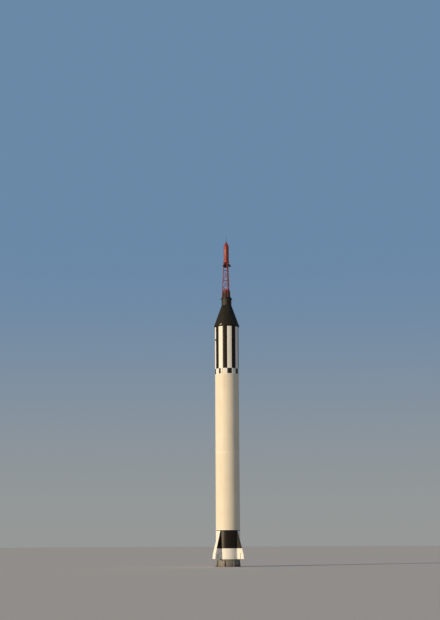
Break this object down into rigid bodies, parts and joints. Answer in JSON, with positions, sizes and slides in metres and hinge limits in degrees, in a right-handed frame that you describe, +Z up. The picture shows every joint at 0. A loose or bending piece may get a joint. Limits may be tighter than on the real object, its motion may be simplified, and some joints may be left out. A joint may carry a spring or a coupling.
{
  "type": "space rocket",
  "caption": "Single-stage crewed rocket: finned tail with jet vanes, long tank body, striped upper bay, conical capsule with a lift-off hatch, and a lattice escape tower with its motor.",
  "frame": {"origin": "centre of the launch ring's underside, on the rocket's axis", "axes": "+Z up the rocket's axis, fins along -Y, +X, +Y and -X, hatch on the -X side"},
  "size_m": [2.984, 2.984, 24.97],
  "materials": {
    "white_paint": "gloss white",
    "tail_paint": "gloss white and black quarters",
    "striped_paint": "gloss black and white upright stripes",
    "check_paint": "gloss black and white checks",
    "black_paint": "satin black",
    "red_paint": "satin red",
    "grey_paint": "matt grey",
    "cabin_metal": "dark oxidised metal shingles",
    "steel": "machined",
    "nozzle_steel": "heat-tinted",
    "graphite": "matt graphite, shown as a dull dark solid",
    "heat_shield": "dull sheet",
    "couch_shell": "moulded shell with a lining",
    "panel_grey": "matt",
    "window_glass": "clear"
  },
  "bodies": {
    "rocket": {"launch_ring": "grey_paint", "tail_skirt": "tail_paint", "tail_heat_shield": "heat_shield", "engine_nozzle": "nozzle_steel", "engine_block": "steel", "exhaust_duct": "nozzle_steel", "lower_tank": "white_paint", "upper_tank": "white_paint", "check_ring": "check_paint", "instrument_bay": "striped_paint", "adapter_ring": "striped_paint", "cable_raceway": "white_paint", "clamp_ring": "black_paint", "cabin_shell": "cabin_metal", "window_pane": "window_glass", "couch": "couch_shell", "instrument_panel": "panel_grey", "recovery_cylinder": "cabin_metal", "antenna_canister": "black_paint", "canister_cap": "red_paint", "escape_tower": "red_paint", "nozzle_block": "red_paint", "jettison_motor": "red_paint", "escape_motor": "red_paint", "nose_cone": "red_paint", "spike": "steel", "fin_south": "tail_paint", "fin_east": "tail_paint", "fin_north": "tail_paint", "fin_west": "tail_paint"},
    "vane_south": {"rudder_south": "tail_paint", "vane_shaft_south": "steel", "jet_vane_south": "graphite"},
    "vane_east": {"rudder_east": "tail_paint", "vane_shaft_east": "steel", "jet_vane_east": "graphite"},
    "vane_north": {"rudder_north": "tail_paint", "vane_shaft_north": "steel", "jet_vane_north": "graphite"},
    "vane_west": {"rudder_west": "tail_paint", "vane_shaft_west": "steel", "jet_vane_west": "graphite"},
    "hatch": {"hatch": "cabin_metal"}
  },
  "joints": [
    {"name": "vane_south_turn", "type": "hinge", "parent": "rocket", "child": "vane_south", "pos_m": [0, -0.9, 0.77], "axis": [0, -1, 0], "range_deg": [-25, 25]},
    {"name": "vane_east_turn", "type": "hinge", "parent": "rocket", "child": "vane_east", "pos_m": [0.9, 0, 0.77], "axis": [1, 0, 0], "range_deg": [-25, 25]},
    {"name": "vane_north_turn", "type": "hinge", "parent": "rocket", "child": "vane_north", "pos_m": [0, 0.9, 0.77], "axis": [0, 1, 0], "range_deg": [-25, 25]},
    {"name": "vane_west_turn", "type": "hinge", "parent": "rocket", "child": "vane_west", "pos_m": [-0.9, 0, 0.77], "axis": [-1, 0, 0], "range_deg": [-25, 25]},
    {"name": "hatch_lift_off", "type": "slide", "parent": "rocket", "child": "hatch", "axis": [-0.9397, 0, 0.342], "range_m": [0, 0.6]}
  ]
}
